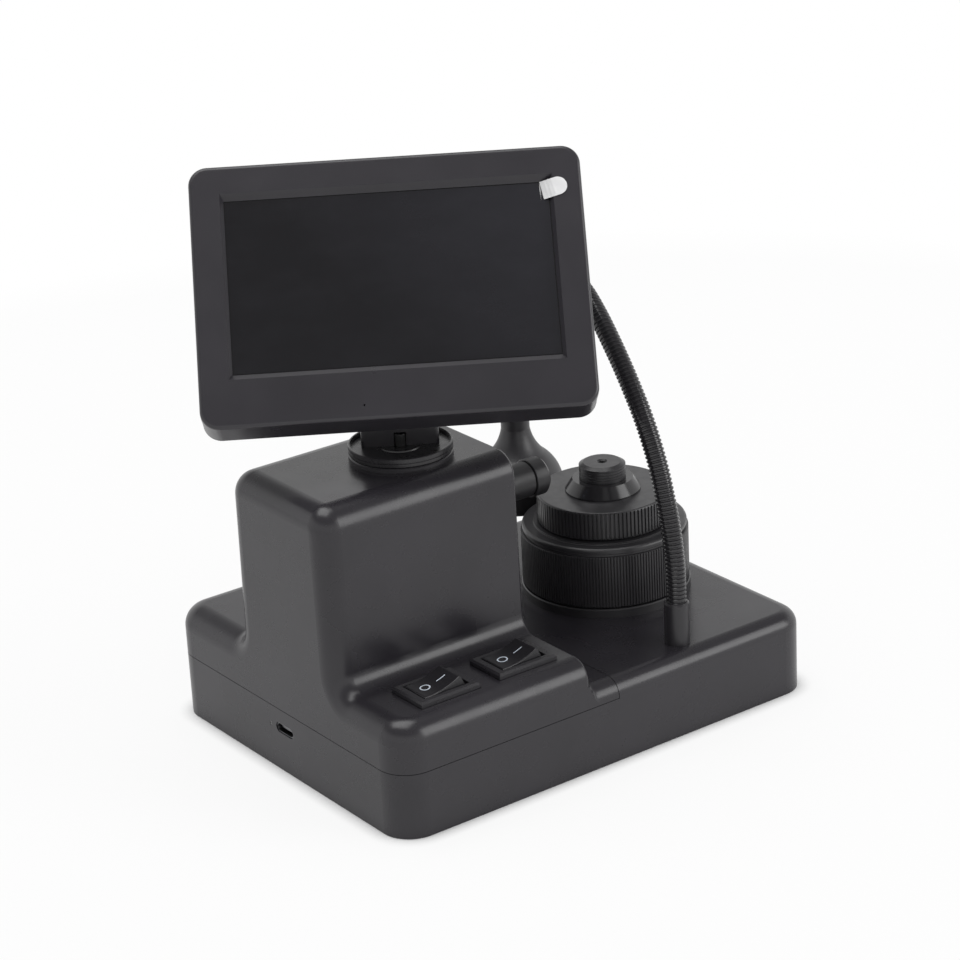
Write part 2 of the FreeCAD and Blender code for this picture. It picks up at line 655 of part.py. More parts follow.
def stand():
    ring = revolve([(2.2, tower_z), (stand_radius, tower_z), (stand_radius, tower_z + 1.0),
                    (stand_radius - 0.3, tower_z + 1.3), (2.2, tower_z + 1.3)], 0, 0)
    keep("pan_base_ring", set_in_pan(ring))
    low = tower_z + 1.5
    rim = low + 2.8
    line = low + 1.2
    edge = stand_radius
    disc = revolve([(2.0, low), (edge - 0.3, low), (edge, low + 0.3), (edge, line), (edge - 0.2, line + 0.1),
                    (edge - 0.2, line + 0.3), (edge, line + 0.4), (edge, rim - 0.2), (edge - 0.2, rim),
                    (edge - 0.6, rim), (edge - 1.1, neck_foot_z), (2.0, neck_foot_z)], 0, 0)
    keep("pan_disc", set_in_pan(disc))
    hinge_y, hinge_z = hinge_place()
    half = neck_width / 2
    body = box((-half, neck_front, neck_foot_z), (half, neck_back, neck_top_z))
    # The top front edge slopes off so that the monitor can stand upright
    before, foot_z, high_z = neck_front - 1, neck_top_z - 5.6, neck_top_z + 0.01
    wedge = prism_x([(before, foot_z), (neck_front, foot_z), (neck_front + 1.2, high_z), (before, high_z)],
                    -half - 1, half + 1)
    body = fillet_where(body, 1.2, lambda b: b.ZLength > 5).cut(wedge)
    foot = box((-half, neck_front + 1.5, neck_foot_z), (half, 12.5, neck_foot_z + 1.6))
    foot = foot.common(post(0, 0, stand_radius - 2.0, 0, far))
    neck = body.fuse(foot)
    for side in (-1, 1):
        inner, outer = sorted((side * 6.2, side * half))
        cheek = box((inner, hinge_y - knuckle_radius, neck_top_z - 3),
                    (outer, hinge_y + knuckle_radius, hinge_z))
        neck = neck.fuse(cheek).fuse(rod_x(knuckle_radius, inner, outer, hinge_y, hinge_z))
    neck = neck.cut(rod_x(hinge_pin_radius + 0.05, -20, 20, hinge_y, hinge_z))
    neck = neck.cut(post(0, 0, pivot_radius + 0.2, neck_foot_z - 1, pivot_top_z + 0.3))
    keep("stand_neck", set_in_pan(neck))
    pin = rod_x(hinge_pin_radius, -half - 0.4, half + 0.4, hinge_y, hinge_z)
    for side in (-1, 1):
        low_x, high_x = sorted((side * (half + 0.2), side * (half + 1.5)))
        pin = pin.fuse(rod_x(2.6, low_x, high_x, hinge_y, hinge_z))
    keep("tilt_pin", set_in_pan(pin))
    washers = []
    for side in (-1, 1):
        low_x, high_x = sorted((side * 5.75, side * 6.15))
        washer = rod_x(knuckle_radius - 0.2, low_x, high_x, hinge_y, hinge_z)
        washers.append(set_in_pan(washer.cut(rod_x(hinge_pin_radius, -20, 20, hinge_y, hinge_z))))
    solids["tilt_washers"] = Part.makeCompound(washers)
    pivot = post(0, 0, pivot_radius, neck_foot_z + 0.1, pivot_top_z)
    pivot = fillet_where(pivot, 0.25, lambda b: flat_at(b.ZMin, b.ZMax, pivot_top_z))
    pivot = pivot.fuse(post(0, 0, 1.4, 82.2, neck_foot_z + 1))
    pivot = pivot.cut(post(0, 0, 1.0, pivot_top_z - 1.5, pivot_top_z + 1))
    keep("pan_pivot_screw", set_in_pan(pivot))
    roof = tower_z - case_wall
    spring = [tube(0, 0, 4.6, 1.6, roof - 1.0, roof - 0.1), tube(0, 0, 3.2, 1.45, roof - 3.6, roof - 1.1)]
    solids["pan_nut_and_washer"] = Part.makeCompound([set_in_pan(s) for s in spring])


def panel(width, height, low_y, high_y, radius=0.0, x=0.0, z=0.0):
    """A slab parallel to the screen, in the monitor's frame."""
    slab = box((x - width / 2, low_y, z - height / 2), (x + width / 2, high_y, z + height / 2))
    if radius > 0:
        slab = fillet_where(slab, radius, lambda b: b.YLength > high_y - low_y - 0.01)
    return slab


def window_cut():
    """The window through the bezel: sloped walls from its mouth down to the glass."""
    x, z = window_centre
    wires = []
    for (width, height), depth in ((window_mouth, -0.001), (window_size, glass_depth)):
        corners = [Vector(x + sx * width / 2, depth, z + sz * height / 2)
                   for sx, sz in ((-1, -1), (1, -1), (1, 1), (-1, 1))]
        wires.append(Part.makePolygon(corners + corners[:1]))
    return Part.makeLoft(wires, True, True)


def monitor():
    bezel = panel(monitor_width, monitor_height, 0, bezel_depth, monitor_corner)
    bezel = fillet_where(bezel, bezel_round, lambda b: flat_at(b.YMin, b.YMax, 0))
    pocket = panel(monitor_width - 4, monitor_height - 4, glass_depth, bezel_depth + 1, monitor_corner - 2)
    bezel = bezel.cut(window_cut()).cut(pocket)
    for x, z in monitor_screw_places():
        bezel = bezel.fuse(rod_y(2.2, glass_depth - 0.2, bezel_depth, x, z))
        bezel = bezel.cut(rod_y(0.9, glass_depth - 0.8, bezel_depth + 1, x, z))
    x, z = monitor_light
    keep("front_bezel", set_in_monitor(bezel.cut(rod_y(0.3, -1, glass_depth + 1, x, z))))
    width, height = monitor_width - 0.2, monitor_height - 0.2
    back_low = bezel_depth + 0.2
    back = panel(width, height, back_low, monitor_depth, monitor_corner)
    back = fillet_where(back, bezel_round, lambda b: flat_at(b.YMin, b.YMax, monitor_depth))
    back = back.cut(panel(width - 4, height - 4, bezel_depth, monitor_depth - 2, monitor_corner - 2))
    x0 = -screen_centre[0]
    lug = box((x0 - 5.5, monitor_depth - 1.5, -hinge_drop - knuckle_radius),
              (x0 + 5.5, hinge_depth, -hinge_drop + knuckle_radius))
    lug = lug.fuse(rod_x(knuckle_radius, x0 - 5.5, x0 + 5.5, hinge_depth, -hinge_drop))
    back = back.fuse(lug).cut(rod_x(hinge_pin_radius + 0.05, -20, 20, hinge_depth, -hinge_drop))
    for x, z in monitor_screw_places():
        back = back.fuse(rod_y(2.4, back_low, monitor_depth - 1, x, z)).cut(rod_y(1.1, 0, 20, x, z))
        back = back.cut(rod_y(2.0, monitor_depth - 1.6, 20, x, z))
    for x, z in driver_posts():
        back = back.fuse(rod_y(2.0, driver_post_y, monitor_depth - 1, x, z))
    for row in range(5):
        back = back.cut(panel(36, 1.2, monitor_depth - 3, monitor_depth + 1, 0, 0, 13 + 3.2 * row))
    keep("rear_cover", set_in_monitor(back))
    screws = []
    for x, z in monitor_screw_places():
        head = rod_y(1.9, monitor_depth - 1.6, monitor_depth - 0.3, x, z)
        slot = box((x - 1.4, monitor_depth - 0.8, z - 0.25), (x + 1.4, monitor_depth, z + 0.25))
        slot = slot.fuse(box((x - 0.25, monitor_depth - 0.8, z - 1.4), (x + 0.25, monitor_depth, z + 1.4)))
        screws.append(set_in_monitor(head.fuse(rod_y(0.85, 1.8, monitor_depth - 1.6, x, z)).cut(slot)))
    solids["monitor_screws"] = Part.makeCompound(screws)
    x, z = window_centre
    front = glass_depth + 0.2
    keep("screen_glass", set_in_monitor(panel(100.0, 58.0, front, front + 0.7, 0, x, z)))
    keep("screen_film", set_in_monitor(panel(95.2, 52.8, front - 0.15, front, 0, x, z)))
    keep("lcd_panel", set_in_monitor(panel(102.0, 62.0, front + 0.7, front + 3.6, 0, x, z - 1.2)))
    keep("film_pull_tab", set_in_monitor(pull_tab()))
    board_y = 8.0
    keep("driver_board", set_in_monitor(panel(86, 44, board_y, driver_post_y, 0, 0, 4)))
    chips = [(14, 14, 1.1, -18, 8), (9, 9, 0.9, 12, 14), (16, 5, 1.8, 4, -12)]
    parts = [panel(width, height, board_y - rise, board_y, 0, x, z) for width, height, rise, x, z in chips]
    solids["driver_components"] = Part.makeCompound([set_in_monitor(p) for p in parts])


def pull_tab():
    """The protective film's tab, lying on the bezel beside the window."""
    width, height, round_end = tab_size
    tab = box((0, -0.25, -height / 2), (width, -0.05, height / 2))
    tab = fillet_where(tab, round_end, lambda b: b.XMin > width - 0.1 and b.YLength > 0.1)
    x, z = tab_corner
    tab.Placement = Placement(Vector(x, 0, z), Rotation(Vector(0, 1, 0), -tab_turn))
    return tab


def monitor_screw_places():
    return [(sx * 52.4, sz * 35.0) for sx in (-1, 1) for sz in (-1, 1)]


def driver_posts():
    return [(sx * 38.0, z) for sx in (-1, 1) for z in (-13.0, 21.0)]


# Gooseneck lamp


def plane_axis():
    """The level direction from the gland to the lamp."""
    return Vector(lamp_x - gland_x, lamp_y - gland_y, 0).normalize()


def bend_runs():
    """The route as straight runs and tangent arcs: lists of start, end and, for an arc, its middle."""
    along = plane_axis()
    span = Vector(lamp_x - gland_x, lamp_y - gland_y, 0).Length
    scale = span / route[-1][0]
    points = [Vector(gland_x, gland_y, 0) + along * (s * scale) + Vector(0, 0, z) for s, z in route]
    pieces = []
    start = points[0]
    radii = []
    for before, here, after in zip(points, points[1:], points[2:]):
        into = (here - before).normalize()
        out = (after - here).normalize()
        turn = into.getAngle(out)
        reach = 0.45 * min((here - before).Length, (after - here).Length)
        radius = reach / math.tan(turn / 2)
        radii.append(radius)
        first = here - into * reach
        last = here + out * reach
        inward = (out - into).normalize()
        middle = here + inward * (radius / math.cos(turn / 2) - radius)
        pieces.append((start, first, None))
        pieces.append((first, last, middle))
        start = last
    pieces.append((start, points[-1], None))
    print("gooseneck bend radii, mm:", [round(r, 1) for r in radii])
    return pieces


def centre_line():
    edges = []
    for start, end, middle in bend_runs():
        if middle is None:
            edges.append(Part.LineSegment(start, end).toShape())
        else:
            edges.append(Part.Arc(start, middle, end).toShape())
    return edges


def gooseneck():
    """A ribbed tube: a ruled loft through four circles for each rib, on one steady X axis."""
    edges = centre_line()
    length = sum(edge.Length for edge in edges)
    steady = plane_axis().cross(Vector(0, 0, 1))

    def place(distance):
        for edge in edges:
            if distance <= edge.Length + 1e-9:
                at = edge.getParameterByLength(min(distance, edge.Length))
                return edge.valueAt(at), edge.tangentAt(at)
            distance -= edge.Length
        last = edges[-1]
        return last.valueAt(last.LastParameter), last.tangentAt(last.LastParameter)

    def circle(distance, radius):
        centre, tangent = place(distance)
        ring = Part.Circle(centre, tangent, radius)
        ring.XAxis = steady
        return Part.Wire([ring.toShape()])

    plain = 2 * neck_radius
    count = int((length - 2 * plain) / rib_pitch)
    pitch = (length - 2 * plain) / count
    crest = neck_radius
    valley = neck_radius - neck_groove
    rings = [circle(0, valley)]
    for rib in range(count):
        start = plain + rib * pitch
        for share, radius in ((0.0, valley), (0.2, crest), (0.6, crest), (0.8, valley)):
            rings.append(circle(start + share * pitch, radius))
    rings.append(circle(length, valley))
    body = Part.makeLoft(rings, True, True)
    bore = Part.Wire(edges).makePipeShell([circle(0, neck_bore)], True, False)
    expected = math.pi * neck_bore ** 2 * length
    print("gooseneck: length %.1f mm, %d ribs" % (length, count))
    print("gooseneck: bore volume %.1f of %.1f" % (bore.Volume, expected))
    return body.cut(bore)


def lamp():
    x, y = lamp_x, lamp_y
    keep("gooseneck", gooseneck())
    gland = revolve([(neck_radius + 0.05, deck_z), (gland_radius, deck_z), (gland_radius, gland_top_z - 0.5),
                     (gland_radius - 0.5, gland_top_z), (neck_radius + 0.05, gland_top_z)], gland_x, gland_y)
    tail = tube(gland_x, gland_y, 2.5, neck_bore, 17.5, route[0][1] - 0.05)
    seat = tube(gland_x, gland_y, gland_radius - 0.2, neck_bore, deck_z, route[0][1] - 0.05)
    keep("gooseneck_gland", gland, seat, tail)
    under = deck_z - case_wall
    keep("gland_nut", tube(gland_x, gland_y, nut_radius, 2.5, under - nut_height, under))
    keep("lamp_shell", lamp_shell(x, y))
    board_z = 54.8
    lens_top = lamp_mouth_z + 2.4
    rim = lamp_mouth_radius - lamp_wall - 0.2
    keep("lamp_board", post(x, y, 10.4, board_z, board_z + 1.2))
    leds = [post(x + 5.5 * math.cos(a), y + 5.5 * math.sin(a), 1.6, board_z - 1.0, board_z)
            for a in (math.tau * i / 6 for i in range(6))]
    solids["lamp_leds"] = Part.makeCompound(leds)
    keep("lamp_reflector", revolve([(8.2, board_z - 0.05), (rim - 1.0, lens_top + 0.1), (rim, lens_top + 0.1),
                                    (rim, lens_top + 0.7), (rim - 1.0, board_z - 4.8),
                                    (10.6, board_z - 0.05)], x, y))
    keep("lamp_lens", post(x, y, rim, lamp_mouth_z + 0.9, lens_top))


def lamp_shell(x, y):
    """The lamp's bell: a straight neck, a hollow flare and a rounded shoulder down to the mouth."""
    bore = neck_radius + 0.08
    neck_foot = (lamp_neck_radius, 68.4)
    outside = [(lamp_neck_radius - 0.6, lamp_top_z), (lamp_neck_radius, lamp_top_z - 0.6), neck_foot,
               (neck_foot, (6.1, 64.0), (9.2, 59.7)), ((9.2, 59.7), (12.9, 55.8), (14.6, 52.0)),
               (lamp_mouth_radius, 50.4), (lamp_mouth_radius, lamp_mouth_z)]
    edge = lamp_mouth_radius - lamp_wall
    inside = [(edge, lamp_mouth_z), (edge, 50.6), ((edge, 50.6), (11.6, 55.3), (8.2, 58.8)),
              ((8.2, 58.8), (5.0, 63.2), (bore, neck_foot[1]))]
    return revolve([(bore, lamp_top_z)] + outside + inside, x, y)


def build():
    base_pieces()
    electronics()
    for kind, x in switch_x.items():
        switch(kind, x)
    camera()
    stage()
    stand()
    monitor()
    lamp()


build()
os.makedirs("parts", exist_ok=True)
for name, shape in solids.items():
    if not shape.isValid():
        print("not valid:", name)
    shape.exportStep(os.path.join("parts", name + ".step"))
print(len(solids), "nodes")
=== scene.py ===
import math

import bpy
from mathutils import Matrix, Vector


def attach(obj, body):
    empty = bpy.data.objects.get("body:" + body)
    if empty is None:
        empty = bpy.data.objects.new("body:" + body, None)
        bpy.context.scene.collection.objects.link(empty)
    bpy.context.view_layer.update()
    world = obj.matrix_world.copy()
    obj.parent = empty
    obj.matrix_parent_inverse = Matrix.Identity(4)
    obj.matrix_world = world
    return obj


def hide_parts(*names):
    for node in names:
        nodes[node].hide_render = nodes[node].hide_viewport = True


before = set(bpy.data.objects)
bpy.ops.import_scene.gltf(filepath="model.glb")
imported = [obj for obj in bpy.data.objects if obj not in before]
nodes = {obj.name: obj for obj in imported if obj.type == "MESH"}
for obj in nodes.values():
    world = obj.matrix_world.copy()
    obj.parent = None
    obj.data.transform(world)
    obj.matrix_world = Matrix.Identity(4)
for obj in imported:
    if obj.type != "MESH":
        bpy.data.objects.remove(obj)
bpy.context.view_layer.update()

MM = 0.001
TAU = math.tau

# Camera, as fitted to the photograph
camera_place = Vector((-495.28, -693.84, 414.88)) * MM
camera_aim = Vector((0.5385, 0.7562, -0.3717)).normalized()
camera_roll = math.radians(3.04)
camera_lens = 111.94

# Stage, switches, screen and stand, at the places that the solids have
stage_centre = (44.3, -2.9)
ring_radius = 26.7
ring_low = 29.35
ring_knurl_top = 46.6
ring_ridges = 174
table_radius = 21.25
table_low = 50.1
table_top = 59.3
table_ridges = 100
switch_y = -46.3
switch_x = {"power_rocker": -53.7, "lamp_rocker": -25.6}
rocker_pivot_z = 33.5
rocker_tilt = 12.0
rocker_half = 6.5
rocker_dip = 5.25
rocker_sag = 0.85
pan_centre = (-33.3, -5.3)
pan_angle = -33.4
lean_back = 36.6
screen_centre = (0.5, -0.75, 145.85)
disc_floor_z = 95.6

# Limits of a noise output between which a finish varies
noise_low = 0.3
noise_high = 0.7


# Node trees


def new_tree(name):
    """A material with its node tree, shader and output."""
    made = bpy.data.materials.new(name)
    made.use_nodes = True
    tree = made.node_tree
    return made, tree, tree.nodes["Principled BSDF"]


def add(tree, kind, **settings):
    node = tree.nodes.new(kind)
    for key, value in settings.items():
        if key in node.inputs:
            node.inputs[key].default_value = value
        else:
            setattr(node, key, value)
    return node


def link(tree, source, target):
    tree.links.new(source, target)


def place_of(tree):
    """Coordinates fixed to the piece, in metres."""
    return add(tree, "ShaderNodeTexCoord").outputs["Object"]


def noise(tree, scale, detail=2.0, rough=0.5, stretch=None):
    """Noise in the piece's own coordinates; scale is in features per metre."""
    where = place_of(tree)
    if stretch:
        mapping = add(tree, "ShaderNodeMapping")
        mapping.inputs["Scale"].default_value = stretch
        link(tree, where, mapping.inputs["Vector"])
        where = mapping.outputs["Vector"]
    made = add(tree, "ShaderNodeTexNoise", Scale=scale, Detail=detail, Roughness=rough)
    link(tree, where, made.inputs["Vector"])
    return made.outputs["Fac"]


def spread(tree, source, low, high, low_in=noise_low, high_in=noise_high):
    """The source's span from low_in to high_in, mapped to low and high and held there beyond it."""
    made = add(tree, "ShaderNodeMapRange")
    made.inputs["From Min"].default_value = low_in
    made.inputs["From Max"].default_value = high_in
    made.inputs["To Min"].default_value = low
    made.inputs["To Max"].default_value = high
    link(tree, source, made.inputs["Value"])
    return made.outputs["Result"]


def tint(tree, factor, first, second):
    """A colour between two, by the factor."""
    made = add(tree, "ShaderNodeMix", data_type="RGBA")
    colour_in = [s for s in made.inputs if s.type == "RGBA"]
    colour_in[0].default_value = (*first, 1)
    colour_in[1].default_value = (*second, 1)
    link(tree, factor, made.inputs[0])
    return [s for s in made.outputs if s.type == "RGBA"][0]


def bump(tree, heights, shader):
    """A chain of bumps: pairs of a height output and its distance in metres."""
    normal = None
    for height, distance in heights:
        made = add(tree, "ShaderNodeBump", Strength=1.0, Distance=distance)
        link(tree, height, made.inputs["Height"])
        if normal:
            link(tree, normal, made.inputs["Normal"])
        normal = made.outputs["Normal"]
    link(tree, normal, shader.inputs["Normal"])


def moulded(name, colour, roughness, grain=0.00002):
    """Moulded plastic: a fine spark-eroded grain, a little uneven gloss and faint flow mottling."""
    made, tree, shader = new_tree(name)
    uneven = 0.04
    light = [c * 1.15 for c in colour]
    dark = [c * 0.88 for c in colour]
    mottle = spread(tree, noise(tree, 35.0, 4.0), 0.0, 1.0)
    link(tree, tint(tree, mottle, dark, light), shader.inputs["Base Color"])
    cloudy = spread(tree, noise(tree, 60.0, 5.0, 0.6), roughness - uneven, roughness + uneven)
    link(tree, cloudy, shader.inputs["Roughness"])
    bump(tree, [(noise(tree, 4200.0, 1.0), grain), (noise(tree, 900.0, 2.0), grain * 1.4)], shader)
    return made


def turned(name, colour, roughness, centre, groove, axis="Z"):
    """Turned and coated metal: fine rings round one axis and a faint cloudy unevenness of gloss."""
    made, tree, shader = new_tree(name)
    rings_per_metre = 3200.0
    shift = add(tree, "ShaderNodeVectorMath", operation="SUBTRACT")
    link(tree, place_of(tree), shift.inputs[0])
    shift.inputs[1].default_value = [c * MM for c in centre]
    flatten = add(tree, "ShaderNodeVectorMath", operation="MULTIPLY")
    flatten.inputs[1].default_value = (1, 1, 0) if axis == "Z" else (0, 1, 1)
    link(tree, shift.outputs["Vector"], flatten.inputs[0])
    reach = add(tree, "ShaderNodeVectorMath", operation="LENGTH")
    link(tree, flatten.outputs["Vector"], reach.inputs[0])
    split = add(tree, "ShaderNodeSeparateXYZ")
    link(tree, shift.outputs["Vector"], split.inputs["Vector"])
    along = split.outputs["Z" if axis == "Z" else "X"]
    pair = add(tree, "ShaderNodeCombineXYZ")
    link(tree, reach.outputs["Value"], pair.inputs["X"])
    link(tree, along, pair.inputs["Y"])
    rings = add(tree, "ShaderNodeTexNoise", Scale=rings_per_metre, Detail=2.0, Roughness=0.6)
    link(tree, pair.outputs["Vector"], rings.inputs["Vector"])
    light = [c * 1.3 for c in colour]
    link(tree, tint(tree, rings.outputs["Fac"], colour, light), shader.inputs["Base Color"])
    link(tree, spread(tree, noise(tree, 220.0, 4.0, 0.6), roughness - 0.05, roughness + 0.07),
         shader.inputs["Roughness"])
    bump(tree, [(rings.outputs["Fac"], groove), (noise(tree, 5000.0, 1.0), groove * 0.5)], shader)
    return made


def polished(name, colour, roughness, ripple=0.000004, metallic=0.0, smear=0.03):
    """A smooth glossy surface with faint smears and a slow ripple."""
    made, tree, shader = new_tree(name)
    light = [c * 1.15 for c in colour]
    mottle = spread(tree, noise(tree, 90.0, 3.0), 0.0, 1.0)
    link(tree, tint(tree, mottle, colour, light), shader.inputs["Base Color"])
    link(tree, spread(tree, noise(tree, 300.0, 5.0, 0.7), roughness - smear * 0.5, roughness + smear),
         shader.inputs["Roughness"])
    shader.inputs["Metallic"].default_value = metallic
    bump(tree, [(noise(tree, 140.0, 2.0), ripple)], shader)
    return made


def board_material(name):
    """Solder-masked board: cells of two greens with darker tracks between."""
    made, tree, shader = new_tree(name)
    cells = add(tree, "ShaderNodeTexBrick", Scale=140.0)
    cells.inputs["Color1"].default_value = (0.012, 0.11, 0.045, 1)
    cells.inputs["Color2"].default_value = (0.016, 0.14, 0.06, 1)
    cells.inputs["Mortar"].default_value = (0.006, 0.05, 0.022, 1)
    link(tree, place_of(tree), cells.inputs["Vector"])
    link(tree, cells.outputs["Color"], shader.inputs["Base Color"])
    link(tree, spread(tree, noise(tree, 500.0), 0.3, 0.45), shader.inputs["Roughness"])
    bump(tree, [(cells.outputs["Fac"], 0.00002)], shader)
    return made


def clear(name, colour, roughness, ior=1.5, weight=0.9):
    """Clear glass or plastic with faint surface haze."""
    made, tree, shader = new_tree(name)
    light = [min(1.0, c * 1.05) for c in colour]
    link(tree, tint(tree, noise(tree, 120.0, 3.0), colour, light), shader.inputs["Base Color"])
    link(tree, spread(tree, noise(tree, 400.0, 4.0), roughness, roughness + 0.03), shader.inputs["Roughness"])
    shader.inputs["IOR"].default_value = ior
    shader.inputs["Transmission Weight"].default_value = weight
    bump(tree, [(noise(tree, 90.0), 0.000003)], shader)
    return made


def screen_material(name):
    """The protective film on the dark screen: glossy, with a slow ripple and dusty smears.
    It is painted paler and bluer towards its upper right corner, a painted reflection."""
    made, tree, shader = new_tree(name)
    to_corner = (0.58, -0.385, 0.70)
    reflection_from, reflection_to = 0.075, 0.135
    # Painted reflection: the base colour grows paler and bluer towards the upper right corner.
    corner = add(tree, "ShaderNodeVectorMath", operation="DOT_PRODUCT")
    corner.inputs[1].default_value = to_corner
    link(tree, place_of(tree), corner.inputs[0])
    painted_reflection = spread(tree, corner.outputs["Value"], 0.0, 1.0, reflection_from, reflection_to)
    smear = noise(tree, 45.0, 6.0, 0.65, stretch=(1.0, 1.0, 2.6))
    share = add(tree, "ShaderNodeMath", operation="MULTIPLY_ADD")
    link(tree, spread(tree, smear, 0.0, 0.3, 0.42, 0.72), share.inputs[0])
    smear_share = 0.6
    share.inputs[1].default_value = smear_share
    link(tree, painted_reflection, share.inputs[2])
    # The paler colour paints both the dusty smears and the reflection.
    link(tree, tint(tree, share.outputs["Value"], (0.0065, 0.0060, 0.0078), (0.0200, 0.0195, 0.0245)),
         shader.inputs["Base Color"])
    link(tree, spread(tree, smear, 0.10, 0.19, 0.4, 0.75), shader.inputs["Roughness"])
    bump(tree, [(noise(tree, 28.0, 2.0), 0.00004), (noise(tree, 700.0, 2.0), 0.000002)], shader)
    return made


# Finishes

case_plastic = moulded("case_plastic", (0.0205, 0.0188, 0.0228), 0.27, grain=0.000003)
monitor_plastic = moulded("monitor_plastic", (0.0240, 0.0222, 0.0268), 0.31, grain=0.000004)
switch_plastic = moulded("switch_plastic", (0.0190, 0.0178, 0.0208), 0.27, grain=0.000004)
rocker_plastic = moulded("rocker_plastic", (0.0150, 0.0142, 0.0164), 0.24, grain=0.000003)
inner_plastic = moulded("inner_plastic", (0.03, 0.03, 0.031), 0.5)
stand_paint = moulded("stand_paint", (0.0210, 0.0198, 0.0228), 0.34, grain=0.000008)
lamp_paint = moulded("lamp_paint", (0.0290, 0.0278, 0.0308), 0.40, grain=0.000010)
pad_rubber = moulded("pad_rubber", (0.012, 0.012, 0.012), 0.75, grain=0.00005)
stage_metal = turned("stage_metal", (0.0200, 0.0192, 0.0212), 0.34, (*stage_centre, 0.0), groove=0.000004)
lens_metal = turned("lens_metal", (0.0160, 0.0154, 0.0170), 0.38, (0.0, -2.9, 70.8), groove=0.000005,
                    axis="X")
disc_gloss = turned("disc_gloss", (0.0160, 0.0152, 0.0172), 0.28, (*pan_centre, 0.0), groove=0.000003)
cone_gloss = polished("cone_gloss", (0.0145, 0.0138, 0.0154), 0.18)
neck_gloss = polished("neck_gloss", (0.0180, 0.0172, 0.0192), 0.13, smear=0.03)
black_steel = polished("black_steel", (0.012, 0.012, 0.0125), 0.3, smear=0.08)
bright_steel = polished("bright_steel", (0.52, 0.52, 0.53), 0.28, metallic=1.0, smear=0.08)
socket_metal = polished("socket_metal", (0.20, 0.20, 0.21), 0.3, metallic=1.0, smear=0.06)
tinned_brass = polished("tinned_brass", (0.62, 0.50, 0.26), 0.32, metallic=1.0, smear=0.08)
mirror_coat = polished("mirror_coat", (0.80, 0.80, 0.80), 0.08, metallic=1.0)
cell_wrap = polished("cell_wrap", (0.02, 0.09, 0.30), 0.3)
sensor_gloss = polished("sensor_gloss", (0.03, 0.04, 0.06), 0.1)
lcd_gloss = polished("lcd_gloss", (0.006, 0.006, 0.007), 0.15)
led_resin = polished("led_resin", (0.80, 0.72, 0.35), 0.3)
board_green = board_material("board_green")
optic_glass = clear("optic_glass", (0.75, 0.80, 0.90), 0.01, ior=1.6)
light_guide = clear("light_guide", (0.80, 0.80, 0.80), 0.1)
diffuser = clear("diffuser", (0.85, 0.85, 0.85), 0.45, weight=0.5)
screen_film = screen_material("screen_film")
dark_glass = polished("dark_glass", (0.008, 0.008, 0.009), 0.05)
mark_paint = polished("mark_paint", (0.62, 0.68, 0.76), 0.35)
tab_film = polished("tab_film", (0.72, 0.72, 0.725), 0.28, ripple=0.00005)

finishes = {
    case_plastic: ("lower_case", "upper_cover", "bottom_plate"),
    monitor_plastic: ("front_bezel", "rear_cover"),
    switch_plastic: ("power_switch_frame", "lamp_switch_frame"),
    rocker_plastic: ("power_rocker", "lamp_rocker"),
    inner_plastic: ("board_components", "battery_cradle", "barrel_collar", "sensor_holder",
                    "driver_components"),
    stand_paint: ("stand_neck", "pan_base_ring", "gooseneck_gland"),
    lamp_paint: ("lamp_shell",),
    pad_rubber: ("grip_pads",),
    stage_metal: ("stage_base", "height_ring", "stage_lift", "turntable", "stone_plug"),
    lens_metal: ("lens_barrel", "focus_ring"),
    disc_gloss: ("pan_disc",),
    cone_gloss: ("holder_cone",),
    neck_gloss: ("gooseneck",),
    black_steel: ("plate_screws", "cover_screws", "stage_screws", "monitor_screws", "tilt_pin",
                  "pan_pivot_screw"),
    bright_steel: ("board_screws", "camera_bracket", "ring_clip", "tilt_washers", "pan_nut_and_washer",
                   "gland_nut"),
    socket_metal: ("charging_socket",),
    tinned_brass: ("power_switch_terminals", "lamp_switch_terminals"),
    mirror_coat: ("lamp_reflector",),
    cell_wrap: ("battery_cell",),
    sensor_gloss: ("image_sensor",),
    lcd_gloss: ("lcd_panel",),
    led_resin: ("lamp_leds",),
    board_green: ("main_board", "camera_board", "driver_board", "lamp_board"),
    optic_glass: ("front_lens", "rear_lens"),
    light_guide: ("charge_light_pipe",),
    diffuser: ("lamp_lens",),
    screen_film: ("screen_film",),
    dark_glass: ("screen_glass",),
    tab_film: ("film_pull_tab",),
}
for finish, names in finishes.items():
    for name in names:
        nodes[name].data.materials.clear()
        nodes[name].data.materials.append(finish)


# Meshes


def make_piece(name, vertices, faces, finish, smooth_angle=30.0):
    """A mesh object from points in millimetres."""
    mesh = bpy.data.meshes.new(name)
    mesh.from_pydata([Vector(v) * MM for v in vertices], [], faces)
    mesh.validate()
    mesh.shade_smooth()
    mesh.set_sharp_from_angle(angle=math.radians(smooth_angle))
    mesh.materials.append(finish)
    piece = bpy.data.objects.new(name, mesh)
    bpy.context.scene.collection.objects.link(piece)
    return piece


def lathe(name, profile, centre, finish, angles, cut):
    """A closed ring: the profile of radius and height pairs turned about the upright axis.
    cut says how much of the radius a groove takes, from the radius, the height and the groove's share."""
    smooth_angle = 20.0
    vertices = []
    for turn, share in angles:
        for r, z in profile:
            radius = r - cut(r, z, share)
            vertices.append((centre[0] + radius * math.cos(turn), centre[1] + radius * math.sin(turn), z))
    rows = len(profile)
    count = len(angles)
    faces = []
    for i in range(count):
        after = (i + 1) % count
        for j in range(rows):
            up = (j + 1) % rows
            faces.append((i * rows + j, after * rows + j, after * rows + up, i * rows + up))
    return make_piece(name, vertices, faces, finish, smooth_angle)


def ridge_angles(count):
    """Four steps a ridge: its crest's two edges and its groove's two."""
    steps = (0.0, 0.56, 0.68, 0.88)
    deep = (0.0, 0.0, 1.0, 1.0)
    return [((i + s) * TAU / count, d) for i in range(count) for s, d in zip(steps, deep)]


# Knurled rings of the stage


